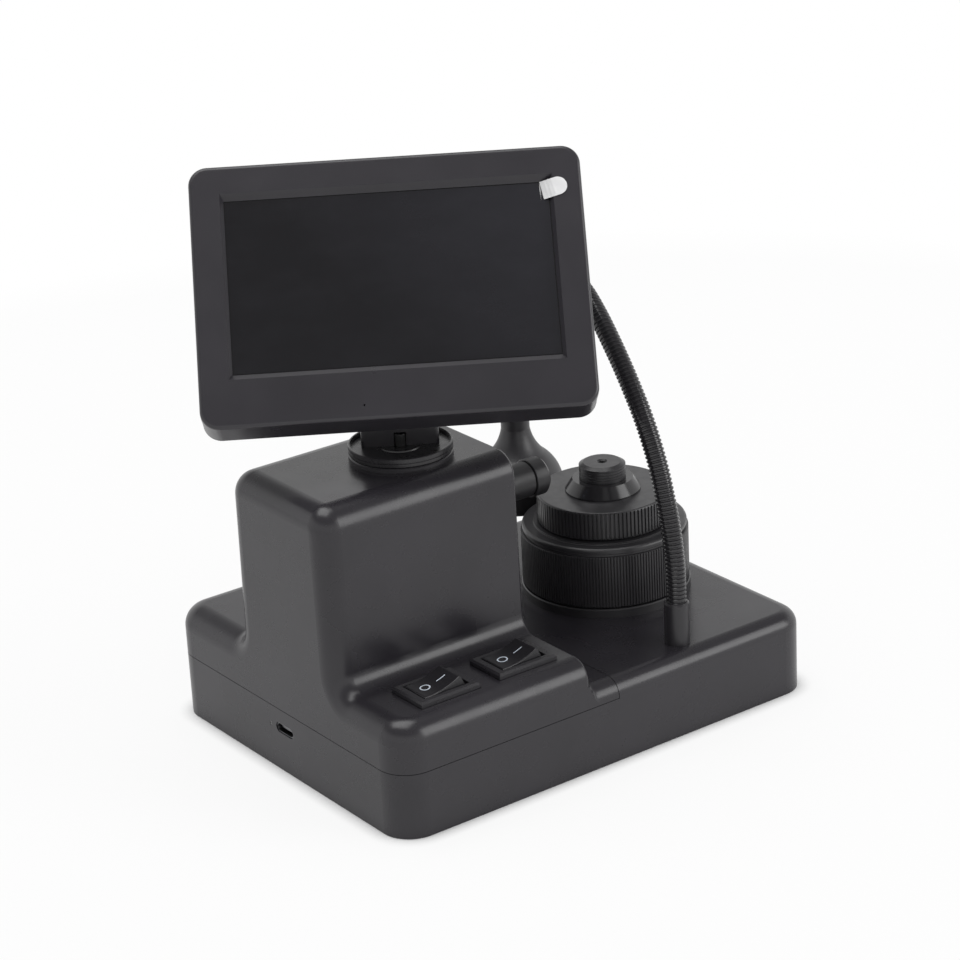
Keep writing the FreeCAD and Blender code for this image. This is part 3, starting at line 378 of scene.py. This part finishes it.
def knurl_cut(radius, low, high, depth):
    """Grooves that run out at both ends of the knurled band."""
    band = 0.35

    def cut(r, z, share):
        if share == 0.0 or r < radius - band or not low < z < high:
            return 0.0
        return depth * share
    return cut


def height_ring():
    fit, bore, shelf = 14.06, 18.98, 40.3
    lip, lip_top, step, step_top = 26.2, 49.2, 22.6, 49.7
    groove_depth = 0.32
    knurled = [(ring_radius - 0.35, ring_low + 0.15), (ring_radius, ring_low + 0.55),
               (ring_radius, ring_knurl_top - 0.25), (ring_radius - 0.25, ring_knurl_top)]
    profile = [(fit, ring_low), (ring_radius - 0.6, ring_low)] + knurled + [
        (ring_radius - 0.9, ring_knurl_top + 0.1), (ring_radius - 0.95, ring_knurl_top + 0.6),
        (lip - 0.15, ring_knurl_top + 0.75), (lip, ring_knurl_top + 1.0), (lip, lip_top - 0.7),
        (lip - 0.2, lip_top - 0.3), (lip - 0.7, lip_top - 0.02), (step + 0.15, lip_top),
        (step, lip_top + 0.1), (step, step_top - 0.1), (step - 0.1, step_top), (bore, step_top),
        (bore, shelf), (fit, shelf)]
    cut = knurl_cut(ring_radius, ring_low + 0.4, ring_knurl_top - 0.1, groove_depth)
    piece = lathe("height_ring_knurled", profile, stage_centre, stage_metal, ridge_angles(ring_ridges), cut)
    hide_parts("height_ring")
    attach(piece, "height_ring")


def turntable():
    stem, stem_low, spindle = 4.9, 39.2, 5.54
    face, skirt = 50.9, 19.32
    cup, cup_floor = 7.6, 55.0
    groove_depth = 0.5
    profile = [(stem, stem_low), (spindle, stem_low), (spindle, face), (skirt, face), (skirt, table_low),
               (table_radius - 0.5, table_low), (table_radius - 0.15, table_low + 0.2),
               (table_radius, table_low + 0.6), (table_radius, table_top - 0.65),
               (table_radius - 0.12, table_top - 0.4), (table_radius - 0.35, table_top - 0.12),
               (table_radius - 0.6, table_top), (cup, table_top), (cup, cup_floor),
               (stem, cup_floor)]
    cut = knurl_cut(table_radius, table_low + 0.3, table_top - 0.5, groove_depth)
    piece = lathe("turntable_knurled", profile, stage_centre, stage_metal, ridge_angles(table_ridges), cut)
    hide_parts("turntable")
    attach(piece, "turntable")


# Marks on the rockers


def rocker_top(x):
    """Height of the rocker's hollow top above its pivot, at a place along it."""
    bend = (rocker_half ** 2 + rocker_sag ** 2) / (2 * rocker_sag)
    return rocker_dip + bend - math.sqrt(bend * bend - x * x)


def on_rocker(x, y, lift, centre_x):
    """A place on the tilted rocker, from one on the level rocker."""
    turn = math.radians(-rocker_tilt)
    z = rocker_top(x) + lift
    return (centre_x + x * math.cos(turn) + z * math.sin(turn), switch_y + y,
            rocker_pivot_z - x * math.sin(turn) + z * math.cos(turn))


def ribbon(name, inner, outer, closed, centre_x, body):
    """A thin raised band between two lines of points on the rocker's top."""
    sunk, proud = -0.02, 0.03
    rings = [[on_rocker(x, y, lift, centre_x) for x, y in line]
             for line, lift in ((inner, sunk), (inner, proud), (outer, proud), (outer, sunk))]
    count = len(inner)
    vertices = [p for ring in rings for p in ring]
    faces = []
    spans = count if closed else count - 1
    for i in range(spans):
        after = (i + 1) % count
        for k in range(4):
            low = k * count
            high = ((k + 1) % 4) * count
            faces.append((low + i, low + after, high + after, high + i))
    if not closed:
        faces.append((0, count, 2 * count, 3 * count))
        faces.append((count - 1, 4 * count - 1, 3 * count - 1, 2 * count - 1))
    piece = make_piece(name, vertices, faces, mark_paint)
    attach(piece, body)


def rocker_marks(body, centre_x):
    """The off ring and the on bar."""
    ring_x = -2.85
    outer, stroke = 1.62, 0.38
    steps = 48
    turns = [TAU * i / steps for i in range(steps)]
    inner_line = [(ring_x + (outer - stroke) * math.cos(t), (outer - stroke) * math.sin(t)) for t in turns]
    outer_line = [(ring_x + outer * math.cos(t), outer * math.sin(t)) for t in turns]
    ribbon(body + "_off_mark", inner_line, outer_line, True, centre_x, body)
    bar_low, bar_high, half = 1.3, 4.6, 0.17
    parts = 8
    lengths = [bar_low + (bar_high - bar_low) * i / parts for i in range(parts + 1)]
    near_line = [(x, -half) for x in lengths]
    far_line = [(x, half) for x in lengths]
    ribbon(body + "_on_mark", near_line, far_line, False, centre_x, body)


# The screen film's tab and fold, and the arc on the pan disc


def monitor_to_world():
    """From the monitor's own frame, X along the screen, Y into it and Z up it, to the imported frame."""
    turn = Matrix.Rotation(math.radians(pan_angle), 4, "Z")
    lean = Matrix.Rotation(math.radians(-lean_back), 4, "X")
    stand = Matrix.Translation(Vector((*pan_centre, 0.0)))
    return stand @ turn @ Matrix.Translation(Vector(screen_centre)) @ lean


def film_tab():
    """The tab pulled out from the film's corner: it climbs out of the window and lies on the bezel."""
    start = Vector((45.73, 26.03))
    turn = math.radians(15.0)
    length, half, thick = 7.8, 2.78, 0.12
    drop, climb, steepness = 2.15, 3.5, 1.15
    clearance, blunt, slanting = 0.28, 0.2, 0.075
    crease_height, crease_pitch, crease_at, crease_width = 0.10, 5.2, 2.2, 1.3
    wave_height, wave_pitch = 0.05, 1.3
    lean_x, lean_z = 0.06, 0.37
    columns, rows = 30, 14
    place = monitor_to_world()
    vertices = []
    for side in (0, 1):
        for i in range(columns + 1):
            along = length * i / columns
            from_round = max(0.0, along - (length - half))
            reach = max(math.sqrt(half * half - min(from_round, half) ** 2), blunt)
            fall = drop * max(0.0, 1.0 - along / climb) ** steepness
            fade = math.exp(-((along - crease_at) / crease_width) ** 2)
            crease = crease_height * math.sin(crease_pitch * along + 0.5) * fade
            for j in range(rows + 1):
                across = reach * (2.0 * j / rows - 1.0)
                reached = along + slanting * across * (1.0 - along / length)
                wave = wave_height * math.sin(wave_pitch * across + along)
                x = start.x + reached * math.cos(turn) - across * math.sin(turn) + lean_x * fall
                z = start.y + reached * math.sin(turn) + across * math.cos(turn) + lean_z * fall
                y = fall - clearance - wave - crease + side * thick
                vertices.append(place @ Vector((x, y, z)))
    per = (columns + 1) * (rows + 1)
    faces = []
    for i in range(columns):
        for j in range(rows):
            a = i * (rows + 1) + j
            b = a + rows + 1
            faces.append((a, a + 1, b + 1, b))
            faces.append((per + a, per + b, per + b + 1, per + a + 1))
    rim = list(range(rows + 1))
    rim += [i * (rows + 1) + rows for i in range(1, columns + 1)]
    rim += [columns * (rows + 1) + j for j in range(rows - 1, -1, -1)]
    rim += [i * (rows + 1) for i in range(columns - 1, 0, -1)]
    for a, b in zip(rim, rim[1:] + rim[:1]):
        faces.append((a, per + a, per + b, b))
    smooth_angle = 50.0
    piece = make_piece("film_tab_curled", vertices, faces, tab_film, smooth_angle)
    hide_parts("film_pull_tab")
    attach(piece, "monitor")


def fold_painted_highlight():
    """The sharp fold in the film beside the tab, a thin bright line: a painted highlight in the pale tab
    finish.
    """
    top, foot = Vector((45.35, 28.9)), Vector((45.55, 24.0))
    film_depth, crest_depth = 2.04, 1.88
    thin, swell = 0.03, 0.10
    steps = 10
    place = monitor_to_world()
    vertices = []
    for i in range(steps + 1):
        share = i / steps
        middle = top.lerp(foot, share)
        half = thin + swell * math.sin(math.pi * min(1.0, 0.15 + share))
        for x, y in ((-half, film_depth), (0.0, crest_depth), (half, film_depth)):
            vertices.append(place @ Vector((middle.x + x, y, middle.y)))
    faces = [(0, 1, 2), (steps * 3 + 2, steps * 3 + 1, steps * 3)]
    for i in range(steps):
        for k in range(3):
            a, b = i * 3 + k, i * 3 + (k + 1) % 3
            faces.append((a, a + 3, b + 3, b))
    # The pale tab finish paints the fold's highlight.
    piece = make_piece("fold_painted_highlight", vertices, faces, tab_film)
    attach(piece, "monitor")


def disc_boss():
    """The low raised arc on the pan disc, in front of the neck."""
    radius, width, height = 6.5, 0.5, 0.4
    section = ((radius - width, 0.0), (radius - width * 0.7, height), (radius - width * 0.3, height),
               (radius, 0.0))
    steps = 40
    end_gap = math.radians(8)
    first = math.radians(pan_angle) + math.pi + end_gap
    vertices = []
    for i in range(steps + 1):
        turn = first + (math.pi - 2 * end_gap) * i / steps
        for r, z in section:
            vertices.append((pan_centre[0] + r * math.cos(turn), pan_centre[1] + r * math.sin(turn),
                             disc_floor_z + z))
    faces = []
    for i in range(steps):
        for k in range(4):
            a = i * 4 + k
            b = i * 4 + (k + 1) % 4
            faces.append((a, b, b + 4, a + 4))
    faces.append((3, 2, 1, 0))
    last = steps * 4
    faces.append((last, last + 1, last + 2, last + 3))
    piece = make_piece("pan_disc_boss", vertices, faces, disc_gloss)
    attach(piece, "pan_stand")


height_ring()
turntable()
for rocker, x in switch_x.items():
    rocker_marks(rocker, x)
film_tab()
fold_painted_highlight()
disc_boss()


# Floor, lights and camera

shadow_reach = 5.0
shadow_share = 0.1
paper_share = 0.86
glossy_share = 0.45
plain_from, plain_to = 0.16, 0.5
floor_size = 4.0
floor_drop = 0.0002
sweep_top = 0.40
sweep_fade = 0.2
room_level = 0.33
aim_height = 0.08
# Name, place in metres, width, height and radiance
lights = (
    ("front_strip", (0.91, -1.13, 0.72), 0.8, 0.95, 3.2),
    ("overhead", (-0.15, 0.25, 1.6), 1.2, 1.2, 3.2),
)


def floor_material():
    """White paper. It keeps a narrow shadow where the object stands and is plain white elsewhere."""
    made, tree, shader = new_tree("white_floor")
    fine = spread(tree, noise(tree, 900.0, 2.0), 0.84, 0.86)
    tone = add(tree, "ShaderNodeCombineXYZ")
    for socket in ("X", "Y", "Z"):
        link(tree, fine, tone.inputs[socket])
    link(tree, tone.outputs["Vector"], shader.inputs["Base Color"])
    shader.inputs["Roughness"].default_value = 0.9
    shader.inputs["Specular IOR Level"].default_value = 0.1
    shine = add(tree, "ShaderNodeEmission", Color=(1, 1, 1, 1), Strength=1.0)
    rays = add(tree, "ShaderNodeLightPath")
    mirrored = add(tree, "ShaderNodeMath", operation="MULTIPLY")
    link(tree, rays.outputs["Is Glossy Ray"], mirrored.inputs[0])
    mirrored.inputs[1].default_value = glossy_share
    seen = largest(tree, rays.outputs["Is Camera Ray"], mirrored.outputs["Value"])
    seen = largest(tree, seen, rays.outputs["Is Transmission Ray"])
    close = add(tree, "ShaderNodeAmbientOcclusion", samples=8, Distance=shadow_reach * MM)
    near = spread(tree, close.outputs["AO"], shadow_share, paper_share, 0.5, 1.0)
    reach = add(tree, "ShaderNodeVectorMath", operation="LENGTH")
    link(tree, place_of(tree), reach.inputs[0])
    away = spread(tree, reach.outputs["Value"], 0.0, 1.0, plain_from, plain_to)
    share = add(tree, "ShaderNodeMath", operation="MULTIPLY")
    link(tree, largest(tree, near, away), share.inputs[0])
    link(tree, seen, share.inputs[1])
    mix = add(tree, "ShaderNodeMixShader")
    link(tree, share.outputs["Value"], mix.inputs[0])
    link(tree, shader.outputs["BSDF"], mix.inputs[1])
    link(tree, shine.outputs["Emission"], mix.inputs[2])
    link(tree, mix.outputs["Shader"], tree.nodes["Material Output"].inputs["Surface"])
    return made


def largest(tree, first, second):
    made = add(tree, "ShaderNodeMath", operation="MAXIMUM")
    link(tree, first, made.inputs[0])
    link(tree, second, made.inputs[1])
    return made.outputs["Value"]


def floor():
    size = floor_size
    mesh = bpy.data.meshes.new("floor")
    corners = [(x, y, -floor_drop) for x, y in ((-size, -size), (size, -size), (size, size), (-size, size))]
    mesh.from_pydata(corners, [], [(0, 1, 2, 3)])
    mesh.materials.append(floor_material())
    made = bpy.data.objects.new("floor", mesh)
    bpy.context.scene.collection.objects.link(made)


def surroundings():
    """A white sweep round the object up to a little above it, and a dimmer room over that."""
    world = bpy.data.worlds.new("studio")
    bpy.context.scene.world = world
    world.use_nodes = True
    tree = world.node_tree
    back = tree.nodes["Background"]
    back.inputs["Color"].default_value = (1, 1, 1, 1)
    split = add(tree, "ShaderNodeSeparateXYZ")
    link(tree, add(tree, "ShaderNodeTexCoord").outputs["Generated"], split.inputs["Vector"])
    level = spread(tree, split.outputs["Z"], 1.0, room_level, sweep_top, sweep_top + sweep_fade)
    rays = add(tree, "ShaderNodeLightPath")
    link(tree, largest(tree, rays.outputs["Is Camera Ray"], level), back.inputs["Strength"])


def softbox(name, place, width, height, radiance):
    """A lit panel that faces the object. An area light's power is its radiance times pi and its area."""
    data = bpy.data.lights.new(name, "AREA")
    data.shape = "RECTANGLE"
    data.size = width
    data.size_y = height
    data.energy = radiance * math.pi * width * height
    made = bpy.data.objects.new(name, data)
    made.location = place
    aim = Vector((0, 0, aim_height)) - Vector(place)
    made.rotation_euler = aim.to_track_quat("-Z", "Y").to_euler()
    bpy.context.scene.collection.objects.link(made)


def camera():
    data = bpy.data.cameras.new("camera")
    data.sensor_width = 36.0
    data.lens = camera_lens
    data.clip_start = 0.05
    data.clip_end = 50.0
    level = camera_aim.cross(Vector((0, 0, 1))).normalized()
    upright = level.cross(camera_aim)
    right = level * math.cos(camera_roll) - upright * math.sin(camera_roll)
    up = upright * math.cos(camera_roll) + level * math.sin(camera_roll)
    made = bpy.data.objects.new("camera", data)
    turn = Matrix((right, up, -camera_aim)).transposed().to_4x4()
    made.matrix_world = Matrix.Translation(camera_place) @ turn
    bpy.context.scene.collection.objects.link(made)
    bpy.context.scene.camera = made


floor()
surroundings()
for name, place, width, height, radiance in lights:
    softbox(name, place, width, height, radiance)
camera()
bpy.context.scene.view_settings.view_transform = "Standard"
